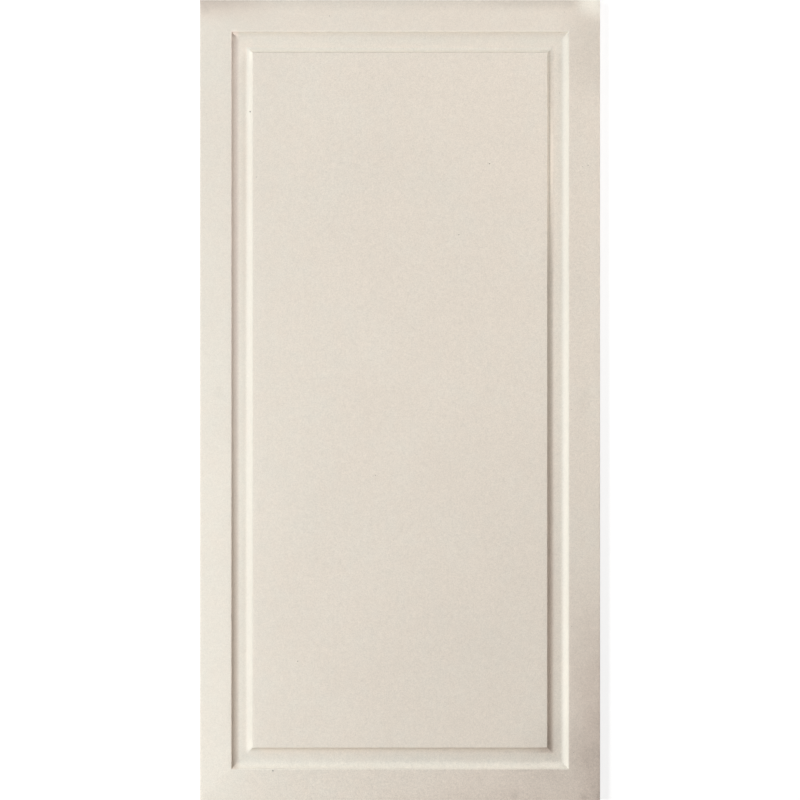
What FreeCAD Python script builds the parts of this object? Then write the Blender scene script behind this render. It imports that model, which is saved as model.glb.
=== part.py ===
import FreeCAD, Part
import math
import os

# Wainscot wall panel, pressed and fired as one piece. Millimetres.
# It lies on its back with the face up: X across the panel, Y up the panel as it is hung, Z out of the wall.

panel_width = 300.0
panel_height = 600.0
panel_thickness = 12.0

# Outer edge: a softened face edge and a bevel at the back.
edge_radius = 0.4
back_bevel = 0.8

# Groove frame, in the order it is met from the edge inwards: border, cove, floor, cove, field.
# The border is a plane that leans outwards: at the panel's edge it has fallen a little below the field.
border_width = 23.6
border_fall = 1.1
cove_width = 6.1
floor_width = 4.0
groove_depth = 4.3
arris_radius = 0.3

# Keyed back: a lattice of shallow drafted pockets that the adhesive grips.
key_pitch = 25.0
key_rib = 4.0
key_depth = 0.8
key_draft = 0.6
key_rim = 10.0

node_name = "wainscot_panel"

# Face heights and distances in from the panel's edge that follow from the sizes above.
face_level = panel_thickness
floor_level = face_level - groove_depth
floor_start = border_width + cove_width
floor_end = floor_start + floor_width
field_start = floor_end + cove_width
border_lean = math.atan2(border_fall, border_width)
level_lean = 0.0


def line(start, end):
    return Part.makeLine(start, end)


def arc(start, centre, end):
    """The shorter arc from start to end about centre, all in one plane."""
    radius = (start - centre).Length
    middle = (start - centre) + (end - centre)
    middle.normalize()
    return Part.Arc(start, centre + middle * radius, end).toShape()


def at(inset, level):
    """A point of the frame's section on the lower long path: inset from the edge, level above the back."""
    return FreeCAD.Vector(0.0, inset - panel_height / 2.0, level)


def to_face(radius, lean):
    """The step from a rounding's centre to where it meets a face that leans outwards by this angle."""
    return FreeCAD.Vector(0.0, -radius * math.sin(lean), radius * math.cos(lean))


def cove_flank(face_inset, floor_inset, lean):
    """One groove flank from the face to the floor: a rounded arris running smoothly into a hollow cove."""
    reach = abs(floor_inset - face_inset)
    summed_radii = (reach ** 2 + groove_depth ** 2) / (2.0 * groove_depth)
    arris_centre = at(face_inset, face_level - arris_radius)
    cove_centre = at(floor_inset, floor_level + summed_radii - arris_radius)
    towards_cove = cove_centre - arris_centre
    towards_cove.normalize()
    join = arris_centre + towards_cove * arris_radius
    face_point = arris_centre + to_face(arris_radius, lean)
    floor_point = at(floor_inset, floor_level)
    return [arc(face_point, arris_centre, join), arc(join, cove_centre, floor_point)]


def outer_edge():
    """The panel's edge from the back plane, round the face edge and up the leaning border to the groove."""
    border_top = at(border_width, face_level - arris_radius) + to_face(arris_radius, border_lean)
    across = border_top.y - at(edge_radius, 0.0).y
    edge_level = border_top.z - across * math.tan(border_lean) - edge_radius / math.cos(border_lean)
    edge_centre = at(edge_radius, edge_level)
    side_top = at(0.0, edge_level)
    border_foot = edge_centre + to_face(edge_radius, border_lean)
    return [
        line(at(back_bevel, 0.0), at(0.0, back_bevel)),
        line(at(0.0, back_bevel), side_top),
        arc(side_top, edge_centre, border_foot),
        line(border_foot, border_top),
    ]


def frame_section():
    """The closed section of the border and groove, from the panel's edge to where the field begins."""
    outer_flank = cove_flank(border_width, floor_start, border_lean)
    inner_flank = cove_flank(field_start, floor_end, level_lean)
    edges = outer_edge()
    edges.extend(outer_flank)
    edges.append(line(at(floor_start, floor_level), at(floor_end, floor_level)))
    edges.extend(reversed(inner_flank))
    edges.append(line(at(field_start, face_level), at(field_start, 0.0)))
    edges.append(line(at(field_start, 0.0), at(back_bevel, 0.0)))
    return Part.Wire(edges)


def outline_path():
    """The panel's outline at the back, starting in the middle of the lower edge."""
    right = panel_width / 2.0
    top = panel_height / 2.0
    corners = [(0.0, -top), (right, -top), (right, top), (-right, top), (-right, -top), (0.0, -top)]
    return Part.makePolygon([FreeCAD.Vector(x, y, 0.0) for x, y in corners])


def mitred_frame():
    """The frame section carried round the outline, with its corners mitred."""
    sweep = Part.BRepOffsetAPI.MakePipeShell(outline_path())
    sweep.setTransitionMode(1)
    sweep.add(frame_section())
    sweep.build()
    sweep.makeSolid()
    return sweep.shape()


def field():
    """The flat middle of the panel inside the groove."""
    width = panel_width - 2.0 * field_start
    height = panel_height - 2.0 * field_start
    corner = FreeCAD.Vector(-width / 2.0, -height / 2.0, 0.0)
    return Part.makeBox(width, height, panel_thickness, corner)


def key_centres(length):
    """Places along one side of the lattice, as many as fit inside the rim, centred on the panel."""
    count = int((length - 2.0 * key_rim + key_rib) // key_pitch)
    first = -(count - 1) * key_pitch / 2.0
    return [first + step * key_pitch for step in range(count)]


def key_pocket():
    """One drafted pocket of the back, open downwards, centred on the origin."""
    mouth = key_pitch - key_rib
    mouth_square = square(mouth, 0.0)
    bed_square = square(mouth - 2.0 * key_draft, key_depth)
    return Part.makeLoft([mouth_square, bed_square], True, True)


def square(side, level):
    half = side / 2.0
    corners = [(-half, -half), (half, -half), (half, half), (-half, half), (-half, -half)]
    return Part.makePolygon([FreeCAD.Vector(x, y, level) for x, y in corners])


def keys():
    pocket = key_pocket()
    pockets = []
    for x in key_centres(panel_width):
        for y in key_centres(panel_height):
            pockets.append(pocket.translated(FreeCAD.Vector(x, y, 0.0)))
    return Part.makeCompound(pockets)


panel = mitred_frame().fuse(field()).removeSplitter()
panel = panel.cut(keys())
panel = panel.Solids[0]

os.makedirs("parts", exist_ok=True)
panel.exportStep("parts/" + node_name + ".step")

box = panel.BoundBox
print("valid", panel.isValid(), "faces", len(panel.Faces), "volume cm3", round(panel.Volume / 1000.0, 1))
print("size", round(box.XLength, 3), round(box.YLength, 3), round(box.ZLength, 3), "from", round(box.ZMin, 4))
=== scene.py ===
import bpy
import math
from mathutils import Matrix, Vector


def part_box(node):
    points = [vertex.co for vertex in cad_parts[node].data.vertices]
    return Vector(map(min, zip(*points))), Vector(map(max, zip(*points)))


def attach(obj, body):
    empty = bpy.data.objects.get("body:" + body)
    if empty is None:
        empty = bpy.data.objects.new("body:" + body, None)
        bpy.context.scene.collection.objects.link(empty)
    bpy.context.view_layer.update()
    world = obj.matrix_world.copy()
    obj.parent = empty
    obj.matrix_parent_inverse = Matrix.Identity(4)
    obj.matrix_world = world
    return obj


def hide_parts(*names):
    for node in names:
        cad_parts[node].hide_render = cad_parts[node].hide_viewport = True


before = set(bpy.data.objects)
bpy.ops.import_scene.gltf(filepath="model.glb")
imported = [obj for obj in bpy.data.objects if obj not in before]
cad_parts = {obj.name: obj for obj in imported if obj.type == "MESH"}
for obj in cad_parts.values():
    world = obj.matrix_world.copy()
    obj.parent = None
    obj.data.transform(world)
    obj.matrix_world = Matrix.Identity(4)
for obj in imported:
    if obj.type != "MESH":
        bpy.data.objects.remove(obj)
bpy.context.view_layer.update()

# The panel: clay pressed in one piece between two punches, sprayed with a matt stone-like glaze and fired.
# The upper punch leaves the border, the coved groove with mitred corners and the flat field,
# the lower one a lattice of shallow pockets that grips the adhesive on the wall.
MM = 0.001
panel_low, panel_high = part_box("wainscot_panel")
panel_width = panel_high[0] - panel_low[0]
panel_height = panel_high[1] - panel_low[1]
face_level = panel_high[2]

edge_radius = 0.4 * MM
back_bevel = 0.8 * MM
border_width = 23.6 * MM
border_fall = 1.1 * MM
cove_width = 6.1 * MM
floor_width = 4.0 * MM
groove_depth = 4.3 * MM
arris_radius = 0.3 * MM
key_pitch = 25.0 * MM
key_rib = 4.0 * MM
key_depth = 0.8 * MM
key_draft = 0.6 * MM
key_rim = 10.0 * MM
rim_seam = 0.6 * key_rim
weld_reach = 0.02 * MM

floor_start = border_width + cove_width
floor_end = floor_start + floor_width
field_start = floor_end + cove_width
groove_middle = (floor_start + floor_end) / 2.0
border_lean = math.atan2(border_fall, border_width)
arris_centre = (border_width, face_level - arris_radius)


def arc_points(centre, radius, first_turn, last_turn, steps):
    """Points on an arc of the section, as (inset, level), without the first one."""
    points = []
    for step in range(1, steps + 1):
        turn = first_turn + (last_turn - first_turn) * step / steps
        points.append((centre[0] + radius * math.cos(turn), centre[1] + radius * math.sin(turn)))
    return points


def straight_points(first, last, steps):
    """Points on a straight stretch of the section, without the first one."""
    return [
        (first[0] + (last[0] - first[0]) * step / steps, first[1] + (last[1] - first[1]) * step / steps)
        for step in range(1, steps + 1)
    ]


def edge_section():
    """The section from the back, round the panel's edge and up the leaning border to the groove's arris."""
    across = arris_radius * math.sin(border_lean)
    border_top = (arris_centre[0] - across, arris_centre[1] + arris_radius * math.cos(border_lean))
    fall_to_edge = (border_top[0] - edge_radius) * math.tan(border_lean)
    edge_centre = (edge_radius, border_top[1] - fall_to_edge - edge_radius / math.cos(border_lean))
    bevel_foot = (back_bevel, 0.0)
    bevel_top = (0.0, back_bevel)
    points = [(rim_seam, 0.0), bevel_foot, bevel_top]
    points += straight_points(bevel_top, (0.0, edge_centre[1]), steps=5)
    points += arc_points(edge_centre, edge_radius, math.pi, math.pi / 2.0 + border_lean, steps=6)
    points += straight_points(points[-1], border_top, steps=11)
    return points


def flank_section(face_lean):
    """The section of one groove flank, from its rounded arris down the hollow cove to the floor."""
    summed_radii = (cove_width ** 2 + groove_depth ** 2) / (2.0 * groove_depth)
    cove_radius = summed_radii - arris_radius
    cove_centre = (floor_start, face_level - groove_depth + cove_radius)
    join_turn = math.atan2(cove_centre[1] - arris_centre[1], cove_centre[0] - arris_centre[0])
    points = arc_points(arris_centre, arris_radius, math.pi / 2.0 + face_lean, join_turn, steps=4)
    points += arc_points(cove_centre, cove_radius, join_turn + math.pi, 1.5 * math.pi, steps=12)
    return points


def panel_section():
    """The whole section as (inset from the edge, level above the back), from the back to the field."""
    outer_flank = flank_section(border_lean)
    inner_flank = [(2.0 * groove_middle - inset, level) for inset, level in reversed(flank_section(0.0))]
    floor = straight_points(outer_flank[-1], inner_flank[0], steps=3)
    return edge_section() + outer_flank + floor + inner_flank[1:] + [(field_start, face_level)]


def node(tree, kind, inputs=None, **settings):
    """A node with its settings and inputs: a socket given as an input is linked, a value is set."""
    made = tree.nodes.new(kind)
    for name, value in settings.items():
        setattr(made, name, value)
    for name, value in (inputs or {}).items():
        if isinstance(value, bpy.types.NodeSocket):
            tree.links.new(value, made.inputs[name])
        else:
            made.inputs[name].default_value = value
    return made


def maths(tree, operation, *terms):
    """The result of one sum on sockets or plain numbers."""
    return node(tree, "ShaderNodeMath", dict(enumerate(terms)), operation=operation).outputs[0]


def vector(tree, **parts):
    """A vector with the given parts X, Y and Z; a part that isn't given is zero."""
    return node(tree, "ShaderNodeCombineXYZ", parts).outputs[0]


def scaled(tree, value, factor):
    """A vector or colour times a number."""
    return node(tree, "ShaderNodeVectorMath", {0: value, "Scale": factor}, operation="SCALE").outputs[0]


def moved(tree, shape, **changes):
    """The shape with its points set to a Position or moved by an Offset, where a Selection holds."""
    return node(tree, "GeometryNodeSetPosition", {"Geometry": shape, **changes}).outputs[0]


def welded(tree, shape):
    """The shape with the points that lie on one another merged."""
    return node(tree, "GeometryNodeMergeByDistance", {"Geometry": shape, "Distance": weld_reach}).outputs[0]


def in_material(tree, shape, material):
    """The shape with one material on all its faces."""
    return node(tree, "GeometryNodeSetMaterial", {"Geometry": shape, "Material": material}).outputs[0]


def column_and_row(tree, rows):
    """Column and row of each vertex or face of a grid that has this many rows."""
    index = tree.nodes.new("GeometryNodeInputIndex").outputs[0]
    row = maths(tree, "FLOORED_MODULO", index, rows)
    column = maths(tree, "FLOOR", maths(tree, "DIVIDE", maths(tree, "ADD", index, 0.5), rows))
    return column, row


def shape_tree(name, inputs):
    """An empty Geometry Nodes tree with named inputs, a geometry output, and its two end nodes."""
    tree = bpy.data.node_groups.new(name, "GeometryNodeTree")
    for label, kind in inputs.items():
        tree.interface.new_socket(label, in_out="INPUT", socket_type="NodeSocket" + kind)
    tree.interface.new_socket("Geometry", in_out="OUTPUT", socket_type="NodeSocketGeometry")
    given = tree.nodes.new("NodeGroupInput").outputs
    made = tree.nodes.new("NodeGroupOutput").inputs
    return tree, given, made


def mitred_side_tree():
    """One side of the frame: the section run along the side and cut to a mitre at both ends."""
    tree, given, made = shape_tree("mitred_side", {
        "Section": "Geometry", "Half Length": "Float", "Half Depth": "Float",
        "Divisions": "Int", "Turn": "Float"})
    size = node(tree, "GeometryNodeAttributeDomainSize", {"Geometry": given["Section"]}, component="MESH")
    rows = size.outputs["Point Count"]
    columns = maths(tree, "ADD", given["Divisions"], 1)
    grid = node(tree, "GeometryNodeMeshGrid", {"Vertices X": columns, "Vertices Y": rows})
    column, row = column_and_row(tree, rows)
    place = tree.nodes.new("GeometryNodeInputPosition").outputs[0]
    drawn = node(tree, "GeometryNodeSampleIndex", {
        "Geometry": given["Section"], "Value": place, "Index": row},
        data_type="FLOAT_VECTOR", domain="POINT")
    point = node(tree, "ShaderNodeSeparateXYZ", {0: drawn.outputs[0]}).outputs
    twice_share = maths(tree, "DIVIDE", maths(tree, "MULTIPLY", column, 2.0), given["Divisions"])
    along = maths(tree, "SUBTRACT", twice_share, 1.0)
    reach = maths(tree, "SUBTRACT", given["Half Length"], point["X"])
    depth = maths(tree, "SUBTRACT", point["X"], given["Half Depth"])
    spot = vector(tree, X=maths(tree, "MULTIPLY", along, reach), Y=depth, Z=point["Z"])
    run = moved(tree, grid.outputs["Mesh"], Position=spot)
    turn = vector(tree, Z=given["Turn"])
    turned = node(tree, "GeometryNodeTransform", {"Geometry": run, "Rotation": turn})
    tree.links.new(turned.outputs[0], made["Geometry"])
    return tree


def keyed_back_tree():
    """The lattice of the back: a net of ribs whose square openings are pressed in as drafted pockets."""
    tree, given, made = shape_tree("keyed_back", {
        "Columns": "Int", "Rows": "Int", "Pitch": "Float", "Rib": "Float",
        "Depth": "Float", "Draft": "Float"})
    mouth = maths(tree, "SUBTRACT", given["Pitch"], given["Rib"])
    columns = maths(tree, "MULTIPLY", given["Columns"], 2)
    rows = maths(tree, "MULTIPLY", given["Rows"], 2)
    grid = node(tree, "GeometryNodeMeshGrid", {"Vertices X": columns, "Vertices Y": rows})

    def line_place(line, count):
        """The place of one line of the net: pockets and ribs take turns, centred on the panel."""
        step = maths(tree, "FLOOR", maths(tree, "DIVIDE", line, 2.0))
        side = maths(tree, "FLOORED_MODULO", line, 2.0)
        start = maths(tree, "MULTIPLY", step, given["Pitch"])
        span = maths(tree, "SUBTRACT", maths(tree, "MULTIPLY", count, given["Pitch"]), given["Rib"])
        along = maths(tree, "MULTIPLY_ADD", side, mouth, start)
        return maths(tree, "MULTIPLY_ADD", span, -0.5, along)

    column, row = column_and_row(tree, rows)
    spot = vector(tree, X=line_place(column, given["Columns"]), Y=line_place(row, given["Rows"]))
    net = moved(tree, grid.outputs["Mesh"], Position=spot)
    face_column, face_row = column_and_row(tree, maths(tree, "SUBTRACT", rows, 1.0))
    on_rib = maths(tree, "ADD", maths(tree, "FLOORED_MODULO", face_column, 2.0),
                   maths(tree, "FLOORED_MODULO", face_row, 2.0))
    is_pocket = maths(tree, "LESS_THAN", on_rib, 0.5)
    downwards = node(tree, "GeometryNodeFlipFaces", {"Mesh": net})
    pressed = node(tree, "GeometryNodeExtrudeMesh", {
        "Mesh": downwards.outputs[0], "Selection": is_pocket,
        "Offset Scale": maths(tree, "MULTIPLY", given["Depth"], -1.0),
        "Individual": True}, mode="FACES")
    bed = maths(tree, "SUBTRACT", mouth, maths(tree, "MULTIPLY", given["Draft"], 2.0))
    drafted = node(tree, "GeometryNodeScaleElements", {
        "Geometry": pressed.outputs["Mesh"], "Selection": pressed.outputs["Top"],
        "Scale": maths(tree, "DIVIDE", bed, mouth)}, domain="FACE")
    tree.links.new(drafted.outputs[0], made["Geometry"])
    return tree


def pressed_panel_tree(mitred_side, keyed_back):
    """The whole panel: four mitred sides, the field, the keyed back and the flat rim that joins them."""
    tree, given, made = shape_tree("pressed_panel", {
        "Section": "Geometry", "Width": "Float", "Height": "Float",
        "Field Inset": "Float", "Face Level": "Float",
        "Divisions Across": "Int", "Divisions Up": "Int", "Key Columns": "Int", "Key Rows": "Int",
        "Key Pitch": "Float", "Key Rib": "Float", "Key Depth": "Float", "Key Draft": "Float",
        "Ripple Height": "Float", "Ripple Length": "Float", "Seed": "Float", "Glaze": "Material"})
    half_width = maths(tree, "DIVIDE", given["Width"], 2.0)
    half_height = maths(tree, "DIVIDE", given["Height"], 2.0)
    weld = tree.nodes.new("GeometryNodeJoinGeometry")
    for quarter in range(4):
        upright = quarter % 2 == 1
        side = node(tree, "GeometryNodeGroup", node_tree=mitred_side)
        tree.links.new(given["Section"], side.inputs["Section"])
        tree.links.new(half_height if upright else half_width, side.inputs["Half Length"])
        tree.links.new(half_width if upright else half_height, side.inputs["Half Depth"])
        tree.links.new(given["Divisions Up" if upright else "Divisions Across"], side.inputs["Divisions"])
        side.inputs["Turn"].default_value = quarter * math.pi / 2.0
        tree.links.new(side.outputs[0], weld.inputs[0])
    twice_inset = maths(tree, "MULTIPLY", given["Field Inset"], 2.0)
    field = node(tree, "GeometryNodeMeshGrid", {
        "Size X": maths(tree, "SUBTRACT", given["Width"], twice_inset),
        "Size Y": maths(tree, "SUBTRACT", given["Height"], twice_inset),
        "Vertices X": maths(tree, "ADD", given["Divisions Across"], 1),
        "Vertices Y": maths(tree, "ADD", given["Divisions Up"], 1)})
    lift = vector(tree, Z=given["Face Level"])
    lifted = node(tree, "GeometryNodeTransform", {"Geometry": field.outputs["Mesh"], "Translation": lift})
    tree.links.new(lifted.outputs[0], weld.inputs[0])
    back = node(tree, "GeometryNodeGroup", node_tree=keyed_back)
    for label in ("Columns", "Rows", "Pitch", "Rib", "Depth", "Draft"):
        tree.links.new(given["Key " + label], back.inputs[label])
    tree.links.new(back.outputs[0], weld.inputs[0])
    joined = welded(tree, weld.outputs[0])
    faces_beside = tree.nodes.new("GeometryNodeInputMeshEdgeNeighbors").outputs["Face Count"]
    is_open = maths(tree, "LESS_THAN", faces_beside, 1.5)
    loops = node(tree, "GeometryNodeMeshToCurve", {"Mesh": joined, "Selection": is_open})
    rim = node(tree, "GeometryNodeFillCurve", {"Curve": loops.outputs[0]}, mode="TRIANGLES")
    rim_down = node(tree, "GeometryNodeFlipFaces", {"Mesh": rim.outputs[0]})
    closing = tree.nodes.new("GeometryNodeJoinGeometry")
    tree.links.new(joined, closing.inputs[0])
    tree.links.new(rim_down.outputs[0], closing.inputs[0])
    closed = welded(tree, closing.outputs[0])
    place = tree.nodes.new("GeometryNodeInputPosition").outputs[0]
    ripple_scale = maths(tree, "DIVIDE", 1.0, given["Ripple Length"])
    ripple = node(tree, "ShaderNodeTexNoise", {
        "Vector": place, "W": given["Seed"], "Scale": ripple_scale, "Detail": 2.0}, noise_dimensions="4D")
    level = node(tree, "ShaderNodeSeparateXYZ", {0: place}).outputs["Z"]
    off_the_back = maths(tree, "GREATER_THAN", level, back_bevel * 1.5)
    sunk = maths(tree, "MULTIPLY", maths(tree, "MULTIPLY", ripple.outputs[0], given["Ripple Height"]), -1.0)
    outwards = tree.nodes.new("GeometryNodeInputNormal").outputs[0]
    rippled = moved(tree, closed, Selection=off_the_back, Offset=scaled(tree, outwards, sunk))
    realized = node(tree, "GeometryNodeRealizeInstances", {"Geometry": rippled})
    tree.links.new(in_material(tree, realized.outputs[0], given["Glaze"]), made["Geometry"])
    return tree


def pinhole_tree():
    """Pinholes in the glaze: small balls dropped onto the face at the given places and taken out of it."""
    tree, given, made = shape_tree("pinholes", {"Panel": "Geometry", "Places": "Object", "Glaze": "Material"})
    points = node(tree, "GeometryNodeObjectInfo", {"Object": given["Places"]}).outputs["Geometry"]
    place = tree.nodes.new("GeometryNodeInputPosition").outputs[0]
    hit = node(tree, "GeometryNodeRaycast", {
        "Target Geometry": given["Panel"], "Source Position": place,
        "Ray Direction": vector(tree, Z=-1.0), "Ray Length": 1.0})
    dropped = moved(tree, points, Position=hit.outputs["Hit Position"])
    ball = node(tree, "GeometryNodeMeshIcoSphere", {"Radius": 1.0, "Subdivisions": 3})
    radius = node(tree, "GeometryNodeInputNamedAttribute", {"Name": "pit_radius"}, data_type="FLOAT")
    balls = node(tree, "GeometryNodeInstanceOnPoints", {
        "Points": dropped, "Instance": ball.outputs["Mesh"], "Scale": radius.outputs["Attribute"]})
    solid_balls = node(tree, "GeometryNodeRealizeInstances", {"Geometry": balls.outputs[0]})
    glazed_balls = in_material(tree, solid_balls.outputs[0], given["Glaze"])
    pitted = node(tree, "GeometryNodeMeshBoolean", {
        "Mesh 1": given["Panel"], "Mesh 2": glazed_balls}, operation="DIFFERENCE", solver="MANIFOLD")
    tree.links.new(in_material(tree, pitted.outputs["Mesh"], given["Glaze"]), made["Geometry"])
    return tree


def shape_by_tree(piece, tree, values):
    """Runs a tree on the piece with the given inputs and keeps the result as its plain mesh."""
    modifier = piece.modifiers.new(tree.name, "NODES")
    modifier.node_group = tree
    for socket in tree.interface.items_tree:
        if socket.in_out == "INPUT" and socket.name in values:
            modifier[socket.identifier] = values[socket.name]
    evaluated = piece.evaluated_get(bpy.context.evaluated_depsgraph_get())
    shaped = bpy.data.meshes.new_from_object(evaluated)
    piece.modifiers.clear()
    piece.data = shaped


def fade(tree, value, start, end, low=0.0, high=1.0):
    """A soft step of the value: low up to the start, high from the end on."""
    step = node(tree, "ShaderNodeMapRange", {
        "Value": value, "From Min": start, "From Max": end, "To Min": low, "To Max": high},
        interpolation_type="SMOOTHSTEP")
    return step.outputs[0]


def noise(tree, place, grain, seed, strength, detail=2.0):
    """Soft noise with grains of the given size, as far below zero as above it."""
    drawn = node(tree, "ShaderNodeTexNoise", {
        "Vector": place, "W": seed, "Scale": 1.0 / grain, "Detail": detail}, noise_dimensions="4D")
    return maths(tree, "MULTIPLY", maths(tree, "SUBTRACT", drawn.outputs[0], 0.5), 2.0 * strength)


def soft_spot(tree, across, up, centre, reach):
    """A soft oval spot: 1 in the middle and 0 at its reach."""
    sideways = maths(tree, "DIVIDE", maths(tree, "SUBTRACT", across, centre[0]), reach[0])
    upwards = maths(tree, "DIVIDE", maths(tree, "SUBTRACT", up, centre[1]), reach[1])
    square = maths(tree, "MULTIPLY_ADD", sideways, sideways, maths(tree, "MULTIPLY", upwards, upwards))
    return fade(tree, maths(tree, "SQRT", square), 1.0, 0.3)


def total(tree, terms):
    """The sum of several sockets or numbers."""
    summed = terms[0]
    for term in terms[1:]:
        summed = maths(tree, "ADD", summed, term)
    return summed


def product(tree, *factors):
    """The product of several sockets or numbers."""
    result = factors[0]
    for factor in factors[1:]:
        result = maths(tree, "MULTIPLY", result, factor)
    return result


def tint(tree, amount, first, second):
    """A colour between the first and the second."""
    mix = node(tree, "ShaderNodeMix", {0: amount, 6: first, 7: second}, data_type="RGBA")
    return mix.outputs[2]


glaze = bpy.data.materials.new("matt_stone_glaze")
glaze.use_nodes = True
coat = glaze.node_tree
shader = coat.nodes["Principled BSDF"]
glaze_colour = (0.768, 0.684, 0.591, 1.0)
# the cool tint of painted light, also used for the glaze's own clouds
cool_colour = (0.745, 0.697, 0.614, 1.0)
# the warm colour of painted shade on the borders and flanks, with some warmer glaze on the lower right
shade_and_flash_colour = (0.790, 0.669, 0.575, 1.0)
# the rosy colour of painted shade on the left outer flank
shaded_flank_colour = (0.776, 0.676, 0.606, 1.0)
body_colour = (0.640, 0.560, 0.465)
kiln_wash_colour = (0.780, 0.745, 0.690, 1.0)
glaze_roughness = 0.62
body_roughness = 0.85

# places on the panel, in millimetres
metres = coat.nodes.new("ShaderNodeTexCoord").outputs["Object"]
place = scaled(coat, metres, 1.0 / MM)
spot = node(coat, "ShaderNodeSeparateXYZ", {0: place}).outputs
across, up, level = spot["X"], spot["Y"], spot["Z"]
half_across = panel_width / MM / 2.0
half_up = panel_height / MM / 2.0
from_left = maths(coat, "ADD", across, half_across)
from_right = maths(coat, "SUBTRACT", half_across, across)
from_foot = maths(coat, "ADD", up, half_up)
from_top = maths(coat, "SUBTRACT", half_up, up)
inset = maths(coat, "MINIMUM", maths(coat, "MINIMUM", from_left, from_right),
              maths(coat, "MINIMUM", from_foot, from_top))
outer_arris = border_width / MM
inner_arris = field_start / MM
# painted light: the left border, nearest the lamps, made paler and cooler
painted_light_left = fade(coat, from_left, 75.0, 0.0)
on_right = fade(coat, from_right, outer_arris + 0.1, outer_arris - 0.5)
on_foot = fade(coat, from_foot, outer_arris + 0.1, outer_arris - 0.5)

# painted light and shade on the face: the right and lower borders painted darker and warmer towards their
# corner as shade, with some warmer glaze; the left border painted paler where the light falls; the top edge
# painted darker as shade as far as a painted highlight on the upper right corner, and the whole face painted
# slowly darker from its foot towards its upper half, more on the right, as a fall of light
blotches = noise(coat, place, grain=14.0, seed=3.0, strength=0.5)
# painted shade on the right and lower borders, with some warmer glaze
right_border_shade = product(coat, on_right, fade(coat, up, -105.0, -275.0),
                      fade(coat, from_right, 25.0, 1.0, 0.40, 1.0))
foot_border_shade = product(coat, on_foot, fade(coat, across, -90.0, 150.0),
                     fade(coat, from_foot, 16.0, 0.0, 0.40, 0.58))
painted_border_shade = product(coat, maths(coat, "MAXIMUM", right_border_shade, foot_border_shade), maths(coat, "ADD", blotches, 1.0))
# painted highlight where the upper right corner falls away towards the light
painted_highlight_corner = soft_spot(coat, across, up, (150.0, 300.0), (24.0, 20.0))
# painted shade along the top edge, widest and warmest at its left end
painted_shade_top_edge = product(coat, fade(coat, from_top, 10.0, 0.0), maths(coat, "SUBTRACT", 1.0, painted_highlight_corner))
painted_shade_top_band = product(coat, fade(coat, from_top, 20.0, 0.0), fade(coat, across, -75.0, -148.0))
# painted shade on the upper right border
painted_shade_right = product(coat, fade(coat, from_right, 45.0, 15.0), fade(coat, up, -20.0, 90.0))
# painted fall of light: the face darker towards its upper half, more on the right
painted_shade_gradient = total(coat, [
    fade(coat, up, -240.0, -120.0, 0.0, -0.03),
    fade(coat, up, 0.0, 150.0, 0.0, -0.03),
    fade(coat, up, 180.0, 280.0, 0.0, 0.025),
])
tones = [
    1.0,
    product(coat, painted_border_shade, -0.245),
    product(coat, painted_light_left, fade(coat, up, 180.0, -140.0, -0.008, 0.055)),
    product(coat, painted_shade_right, -0.035),
    product(coat, fade(coat, across, -110.0, 120.0, 0.6, 0.9), painted_shade_gradient),
    product(coat, painted_shade_top_edge, fade(coat, across, 40.0, 95.0, -0.09, -0.16)),
    product(coat, painted_shade_top_band, -0.15),
    product(coat, painted_highlight_corner, 0.20),
]

# painted light in the groove: its outer flank made paler and cooler, fading out across the floor
groove_painted_light = product(coat, fade(coat, inset, outer_arris - 0.7, outer_arris),
                 fade(coat, inset, inner_arris - 2.0, outer_arris + 2.0))
inner_flank = product(coat, fade(coat, inset, inner_arris - 5.3, inner_arris - 3.3),
                      fade(coat, inset, inner_arris + 0.2, inner_arris - 0.2))
groove_floor = product(coat, fade(coat, inset, 27.0, 30.0), fade(coat, inset, 36.0, 33.5))


def outer_flank_on(from_side):
    """The groove's outer flank on the side that the distance is measured from."""
    return product(coat, groove_painted_light, fade(coat, from_side, 31.0, 26.0))


def floor_on(from_side):
    """The groove's floor on the side that the distance is measured from."""
    return product(coat, groove_floor, fade(coat, from_side, 42.0, 39.0))


def inner_flank_on(from_side):
    """The groove's inner flank on the side that the distance is measured from."""
    return product(coat, inner_flank, fade(coat, from_side, 50.0, 41.0))


top_outer = outer_flank_on(from_top)
top_inner = inner_flank_on(from_top)
top_steep = product(coat, top_inner, fade(coat, inset, inner_arris - 3.4, inner_arris - 1.9),
                    fade(coat, inset, inner_arris, inner_arris - 1.0))
top_bend = product(coat, fade(coat, inset, inner_arris - 6.5, inner_arris - 5.0),
                   fade(coat, inset, inner_arris - 2.2, inner_arris - 3.2), fade(coat, from_top, 50.0, 41.0))
left_outer = outer_flank_on(from_left)
left_floor = floor_on(from_left)
left_inner = inner_flank_on(from_left)
right_outer = outer_flank_on(from_right)
right_floor = floor_on(from_right)
right_inner = inner_flank_on(from_right)
# painted shade: a dark line on the right groove's inner flank, close under its arris, in its upper part
painted_shade_arris_line = product(coat, right_inner, fade(coat, inset, inner_arris - 2.9, inner_arris - 2.0),
                     fade(coat, inset, inner_arris - 0.9, inner_arris - 1.7))
# painted highlight on the rest of that flank, beside the painted dark line
painted_highlight_beside_line = product(coat, maths(coat, "SUBTRACT", right_inner, painted_shade_arris_line),
                      fade(coat, up, 90.0, 160.0), fade(coat, up, 250.0, 205.0))
foot_outer = outer_flank_on(from_foot)
foot_floor = floor_on(from_foot)
foot_inner = inner_flank_on(from_foot)
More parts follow.
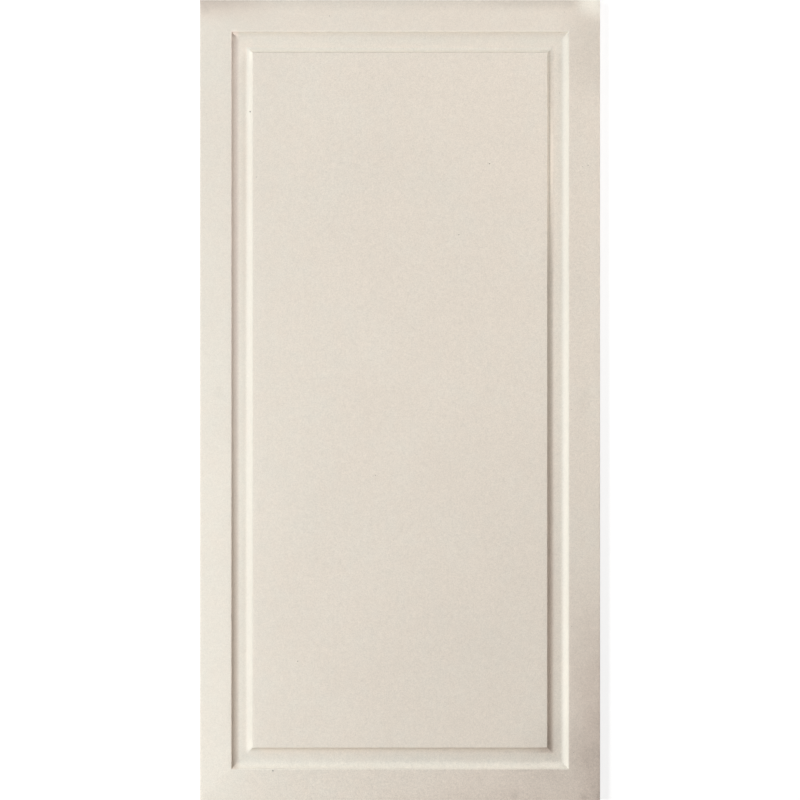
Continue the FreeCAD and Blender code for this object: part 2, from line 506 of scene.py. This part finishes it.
# painted light and shade in the groove: each flank and floor made lighter or darker as the lamps light it
tones += [
    product(coat, groove_painted_light, 0.09),
    product(coat, top_outer, fade(coat, from_top, 24.3, 25.5, 0.03, -0.085)),
    product(coat, top_steep, fade(coat, across, 110.0, -90.0, 0.0, 0.12)),
    product(coat, top_bend, fade(coat, across, 20.0, 110.0, 0.0, -0.045)),
    product(coat, left_outer, fade(coat, up, 150.0, -220.0, -0.06, -0.18)),
    product(coat, left_floor, fade(coat, up, -170.0, -60.0, 0.0, 0.03)),
    product(coat, left_inner, fade(coat, up, 200.0, -150.0, 0.01, -0.045)),
    product(coat, right_outer, fade(coat, up, 100.0, 230.0, 0.01, 0.025)),
    product(coat, right_floor, fade(coat, up, 60.0, -240.0, -0.02, -0.09)),
    product(coat, right_inner, fade(coat, up, 90.0, 160.0, -0.20, 0.02)),
    product(coat, right_inner, fade(coat, up, -80.0, -200.0, 0.0, 0.06)),
    product(coat, painted_shade_arris_line, fade(coat, up, 90.0, 160.0, 0.0, -0.12)),
    product(coat, painted_highlight_beside_line, 0.10),
    product(coat, foot_outer, fade(coat, across, 20.0, 90.0, 0.0, 0.025)),
    product(coat, foot_floor, fade(coat, across, -60.0, 0.0, 0.0, -0.03), fade(coat, across, 110.0, 60.0)),
    product(coat, foot_inner, fade(coat, across, -100.0, 100.0, 0.05, -0.07)),
]

# pinholes in the glaze: centre on the face and radius; each looks dark, a little past its rim
pinholes = [
    ((-112.4, 216.4), 0.60), ((-95.2, -277.7), 0.55), ((67.1, 177.2), 0.45), ((-76.6, -195.6), 0.40),
    ((44.2, 124.1), 0.36), ((141.0, 175.9), 0.34), ((-18.4, -56.2), 0.34), ((-52.9, 288.0), 0.32),
    ((119.6, 230.6), 0.30), ((128.6, -6.8), 0.27), ((-107.6, 167.2), 0.27), ((136.9, 175.1), 0.24),
    ((75.4, 106.5), 0.24), ((128.6, -169.5), 0.24), ((130.1, -264.0), 0.24), ((123.4, 291.0), 0.24),
]
pit_spread = 1.3
pit_shade = -0.65
for centre, radius in pinholes:
    reach = (pit_spread * radius, pit_spread * radius)
    tones.append(product(coat, soft_spot(coat, across, up, centre, reach), pit_shade))

# darker and lighter patches, spots and thin lines on the glaze: centre and reach on the face,
# and the change of tone; two of them, marked below, are painted light
patches = [
    ((156.0, 264.0), (48.0, 54.0), -0.10),
    ((118.0, -268.0), (40.0, 40.0), -0.06),
    ((20.0, -215.0), (105.0, 85.0), -0.02),
    ((-150.0, -290.0), (50.0, 60.0), 0.025),
    # painted light: a pale streak on the shaded inner flank of the right groove, in its upper part
    ((113.9, 182.0), (1.8, 38.0), 0.13),
    # painted light: the shaded flank made pale at the groove's upper left corner
    ((-124.1, 273.4), (4.5, 6.0), 0.20),
    ((138.0, 0.0), (7.0, 15.0), -0.040),
    ((91.5, -277.5), (12.0, 1.4), -0.060),
    ((-17.0, -276.8), (11.0, 1.2), -0.040),
    ((-135.0, 6.0), (5.0, 7.0), -0.030),
    ((-146.0, 292.5), (5.0, 5.0), -0.050),
    ((86.0, -296.0), (5.0, 4.5), -0.085),
    ((138.0, -297.0), (5.5, 4.5), -0.085),
    ((149.0, -297.0), (3.5, 6.0), -0.085),
]
for centre, reach, change in patches:
    tones.append(product(coat, soft_spot(coat, across, up, centre, reach), change))

# sandy grain of the sprayed glaze, weaker on the left and upper borders and where the glaze has run smooth
# on the flanks turned to the left, with mottling, wide clouds and dark specks
fine_grain = total(coat, [
    noise(coat, place, grain=0.7, seed=11.0, strength=0.17, detail=1.0),
    noise(coat, place, grain=1.8, seed=12.0, strength=0.07, detail=1.0),
])
run_smooth = product(coat, maths(coat, "ADD", left_inner, right_outer), 0.5)
grain_share = product(coat, fade(coat, from_left, 20.0, 90.0, 0.70, 1.0),
                      fade(coat, from_top, 20.0, 45.0, 0.78, 1.0),
                      fade(coat, from_foot, 20.0, 45.0, 1.22, 1.0),
                      maths(coat, "SUBTRACT", 1.0, run_smooth))
speck_spacing = 16.0
specks = node(coat, "ShaderNodeTexVoronoi", {"Vector": place, "Scale": 1.0 / speck_spacing})
chance = node(coat, "ShaderNodeSeparateColor", {0: specks.outputs["Color"]}).outputs[0]
speck = fade(coat, specks.outputs["Distance"], 0.035, 0.012)
tones += [
    product(coat, fine_grain, grain_share),
    noise(coat, place, grain=6.0, seed=13.0, strength=0.025),
    noise(coat, place, grain=45.0, seed=14.0, strength=0.025),
    product(coat, speck, fade(coat, chance, 0.55, 1.0), -0.16),
]
tone = total(coat, tones)

# the hue, with painted light and shade in it: cooler on the left, on the groove's flanks that face the light
# and in the painted highlight of the upper right corner; warmer in the painted shade of the borders, the top
# band and the flanks turned from the light, with some warmer glaze on the lower right; rosier in the painted
# shade of the left outer flank;
# and small and wide clouds of the glaze's own hue
lit_left_tint = product(coat, fade(coat, across, 0.0, -60.0), fade(coat, up, 120.0, 20.0, 0.4, 1.0))
# coolness of painted light where the light falls, with the glaze's own small and wide clouds
cool = total(coat, [
    0.08,
    painted_highlight_corner,
    product(coat, lit_left_tint, 0.18),
    product(coat, painted_light_left, 0.42),
    product(coat, groove_painted_light, 0.6),
    product(coat, left_outer, -0.9),
    product(coat, left_floor, fade(coat, up, 0.0, 100.0, 0.0, -0.3)),
    product(coat, left_inner, 0.6),
    product(coat, painted_shade_top_band, -0.9),
    product(coat, top_outer, -0.3),
    product(coat, top_inner, 0.85),
    product(coat, right_outer, 0.4),
    product(coat, right_inner, fade(coat, up, 50.0, 150.0, 0.0, 0.4)),
    product(coat, foot_outer, 0.3),
    noise(coat, place, grain=35.0, seed=15.0, strength=0.50),
    noise(coat, place, grain=8.0, seed=16.0, strength=0.45),
])
# warmth of painted shade, with some warmer glaze on the lower right
warm = total(coat, [
    product(coat, painted_border_shade, 1.3),
    product(coat, painted_shade_top_band, 0.7),
    product(coat, left_outer, fade(coat, up, 50.0, -150.0, 0.0, 0.6)),
    product(coat, right_inner, fade(coat, up, 50.0, -150.0, 0.0, 0.8)),
])
# painted shade: a rosier tint on the shaded left outer flank
painted_shade_rose = product(coat, left_outer, fade(coat, up, -150.0, 50.0, 0.0, 0.9))
glazed = tint(coat, cool, glaze_colour, cool_colour)
glazed = tint(coat, warm, glazed, shade_and_flash_colour)
glazed = tint(coat, painted_shade_rose, glazed, shaded_flank_colour)
glazed = scaled(coat, glazed, tone)

# the glaze ends in an uneven line part of the way down the edges;
# below it and on the back the bare fired body shows, with a pale kiln wash on its ribs
glaze_line = total(coat, [
    level,
    noise(coat, place, grain=9.0, seed=21.0, strength=2.2),
    noise(coat, place, grain=2.5, seed=22.0, strength=0.6),
])
is_glazed = fade(coat, glaze_line, 4.7, 5.2)
body_tone = total(coat, [
    1.0,
    noise(coat, place, grain=0.9, seed=23.0, strength=0.12),
    noise(coat, place, grain=12.0, seed=24.0, strength=0.08),
])
body = scaled(coat, body_colour, body_tone)
wash_line = maths(coat, "ADD", level, noise(coat, place, grain=7.0, seed=25.0, strength=0.5))
wash = fade(coat, wash_line, 0.5, 0.05)
body = tint(coat, product(coat, wash, 0.55), body, kiln_wash_colour)
roughness = maths(coat, "MULTIPLY_ADD", is_glazed, glaze_roughness - body_roughness, body_roughness)
coat.links.new(tint(coat, is_glazed, body, glazed), shader.inputs["Base Color"])
coat.links.new(roughness, shader.inputs["Roughness"])

# the fine relief of the grain, smoothed in the groove where the glaze runs together
in_groove = product(coat, fade(coat, inset, outer_arris - 0.5, outer_arris + 0.5),
                    fade(coat, inset, inner_arris + 0.5, inner_arris - 0.5))
grain_height = total(coat, [
    noise(coat, place, grain=0.9, seed=31.0, strength=1.0),
    noise(coat, place, grain=3.0, seed=32.0, strength=1.2),
])
relief = node(coat, "ShaderNodeBump", {
    "Height": grain_height, "Distance": 0.03 * MM,
    "Strength": maths(coat, "MULTIPLY_ADD", in_groove, -0.6, 1.0)})
coat.links.new(relief.outputs[0], shader.inputs["Normal"])

section_mesh = bpy.data.meshes.new("panel_section")
section_points = panel_section()
section_mesh.from_pydata(
    [(point[0], 0.0, point[1]) for point in section_points],
    [(step, step + 1) for step in range(len(section_points) - 1)], [])
panel = bpy.data.objects.new("wainscot_panel_glazed", section_mesh)
bpy.context.scene.collection.objects.link(panel)
shape_by_tree(panel, pressed_panel_tree(mitred_side_tree(), keyed_back_tree()), {
    "Width": panel_width, "Height": panel_height, "Field Inset": field_start, "Face Level": face_level,
    "Divisions Across": 88, "Divisions Up": 208,
    "Key Columns": int((panel_width - 2.0 * key_rim + key_rib) // key_pitch),
    "Key Rows": int((panel_height - 2.0 * key_rim + key_rib) // key_pitch),
    "Key Pitch": key_pitch, "Key Rib": key_rib, "Key Depth": key_depth, "Key Draft": key_draft,
    "Ripple Height": 0.08 * MM, "Ripple Length": 45.0 * MM, "Seed": 7.0, "Glaze": glaze})
places_mesh = bpy.data.meshes.new("pinhole_places")
drop_level = 2.0 * face_level
places_mesh.from_pydata(
    [(centre[0] * MM, centre[1] * MM, drop_level) for centre, radius in pinholes], [], [])
radii = places_mesh.attributes.new("pit_radius", "FLOAT", "POINT")
radii.data.foreach_set("value", [radius * MM for centre, radius in pinholes])
places = bpy.data.objects.new("pinhole_places", places_mesh)
shape_by_tree(panel, pinhole_tree(), {"Places": places, "Glaze": glaze})
bpy.data.objects.remove(places)
panel.data.materials.clear()
panel.data.materials.append(glaze)
panel.data.set_sharp_from_angle(angle=math.radians(33.0))
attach(panel, "root")
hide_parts("wainscot_panel")

# The floor: a plain white studio sheet under the panel. It stays white where the lamps reach it
# and keeps a light shadow beside the panel.
floor_mesh = bpy.data.meshes.new("studio_floor")
floor_reach = 6.0
floor_mesh.from_pydata(
    [(-floor_reach, -floor_reach, 0.0), (floor_reach, -floor_reach, 0.0),
     (floor_reach, floor_reach, 0.0), (-floor_reach, floor_reach, 0.0)], [], [(0, 1, 2, 3)])
studio_floor = bpy.data.objects.new("studio_floor", floor_mesh)
bpy.context.scene.collection.objects.link(studio_floor)
sheet = bpy.data.materials.new("white_studio_sheet")
sheet.use_nodes = True
sheet_tree = sheet.node_tree
sheet_tree.nodes.clear()
rays = sheet_tree.nodes.new("ShaderNodeLightPath").outputs
seen = maths(sheet_tree, "MAXIMUM", rays["Is Camera Ray"],
             maths(sheet_tree, "MAXIMUM", rays["Is Glossy Ray"], rays["Is Transmission Ray"]))
lit = node(sheet_tree, "ShaderNodeBsdfDiffuse", {"Color": (0.8, 0.8, 0.8, 1.0)})
shadowed = node(sheet_tree, "ShaderNodeBsdfDiffuse", {"Color": (0.28, 0.28, 0.28, 1.0)})
sheet_place = sheet_tree.nodes.new("ShaderNodeTexCoord").outputs["Object"]
from_panel = node(sheet_tree, "ShaderNodeVectorMath", {0: sheet_place}, operation="LENGTH").outputs["Value"]
glow = node(sheet_tree, "ShaderNodeEmission", {
    "Color": (1.0, 1.0, 1.0, 1.0), "Strength": fade(sheet_tree, from_panel, 0.5, 1.8, 0.82, 1.0)})
white = node(sheet_tree, "ShaderNodeAddShader", {0: shadowed.outputs[0], 1: glow.outputs[0]})
mixed = node(sheet_tree, "ShaderNodeMixShader", {0: seen, 1: lit.outputs[0], 2: white.outputs[0]})
node(sheet_tree, "ShaderNodeOutputMaterial", {"Surface": mixed.outputs[0]})
studio_floor.data.materials.append(sheet)

# The light: three cool soft lamps on the left, the low one drawing out the groove, and three weak ones:
# beyond the top right corner, close beside the upper right side, and a warm one beyond the foot.
# The room gives no light of its own and is only seen, as white.
cool_white = (0.968, 1.0, 1.015)
plain_white = (1.0, 0.96, 0.93)
warm_white = (1.0, 0.90, 0.82)


def soft_lamp(name, place, size, power, colour):
    """A round soft lamp at the place, aimed at the middle of the panel."""
    lamp = bpy.data.lights.new(name, "AREA")
    lamp.shape = "DISK"
    lamp.size = size
    lamp.energy = power
    lamp.color = colour
    holder = bpy.data.objects.new(name, lamp)
    bpy.context.scene.collection.objects.link(holder)
    holder.location = place
    tilt = math.atan2(math.hypot(place[0], place[1]), place[2])
    heading = math.atan2(place[0], -place[1])
    holder.rotation_euler = (tilt, 0.0, heading)


soft_lamp("key_lamp", (-1.025, -0.25, 1.593), 0.4, 23.5, cool_white)
soft_lamp("upper_left_lamp", (-1.659, 0.958, 1.607), 0.6, 20.8, cool_white)
soft_lamp("low_left_lamp", (-2.032, 0.178, 0.824), 0.4, 7.7, cool_white)
soft_lamp("corner_lamp", (0.6, 0.9, 0.3), 0.3, 3.4, plain_white)
soft_lamp("right_lamp", (0.45, 0.22, 0.25), 0.2, 0.57, plain_white)
soft_lamp("foot_lamp", (0.0, -1.879, 0.684), 0.6, 7.2, warm_white)
room = bpy.data.worlds.new("studio_room")
bpy.context.scene.world = room
room.use_nodes = True
backdrop = room.node_tree.nodes["Background"].inputs
backdrop["Color"].default_value = (1.0, 1.0, 1.0, 1.0)
room_rays = room.node_tree.nodes.new("ShaderNodeLightPath").outputs
room.node_tree.links.new(room_rays["Is Camera Ray"], backdrop["Strength"])

# The camera: straight above the middle of the panel, far off on a long lens, with the panel's
# height just overfilling the picture.
camera_height = 3.0
camera_lift = 0.15 * MM
overfill = 1.0005
sensor = 36.0
camera = bpy.data.cameras.new("camera")
camera.sensor_width = sensor
camera.lens = overfill * sensor * camera_height / panel_height
viewpoint = bpy.data.objects.new("camera", camera)
bpy.context.scene.collection.objects.link(viewpoint)
viewpoint.location = (0.0, camera_lift, face_level - border_fall + camera_height)
bpy.context.scene.camera = viewpoint
bpy.context.scene.view_settings.view_transform = "Standard"
